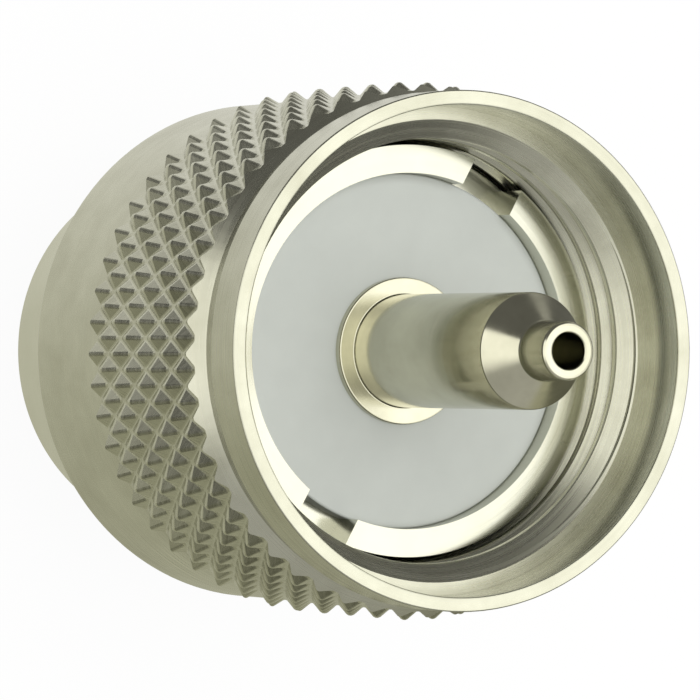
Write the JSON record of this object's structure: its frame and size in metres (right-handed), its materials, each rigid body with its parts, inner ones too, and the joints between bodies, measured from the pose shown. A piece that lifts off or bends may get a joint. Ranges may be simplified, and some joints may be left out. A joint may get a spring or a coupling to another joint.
{
  "type": "uhf connector",
  "caption": "Solder-type UHF cable plug: a knurled coupling ring turns and slides on a flanged body that holds a hollow centre pin in an insulator.",
  "frame": {"origin": "middle of the flat rear end of the hood, which the plug stands on", "axes": "+Z along the axis, out of the mating end; X through the two slots of the flange"},
  "size_m": [0.0188, 0.0188, 0.0295],
  "materials": {
    "nickel_turned": "satin",
    "nickel_bright": "polished",
    "nickel_pin": "polished",
    "spring_steel": "satin",
    "insulator_white": "matte"
  },
  "bodies": {
    "plug": {"plug_body": "nickel_bright", "insulator": "insulator_white", "centre_pin": "nickel_pin"},
    "retainer": {"retaining_ring": "spring_steel"},
    "ring": {"coupling_ring": "nickel_turned"}
  },
  "joints": [
    {"name": "ring_slide", "type": "slide", "parent": "plug", "child": "retainer", "axis": [0, 0, 1], "range_m": [0, 0.00525]},
    {"name": "ring_spin", "type": "hinge", "parent": "retainer", "child": "ring", "pos_m": [0, 0, 0.00875], "axis": [0, 0, 1], "continuous": true}
  ]
}
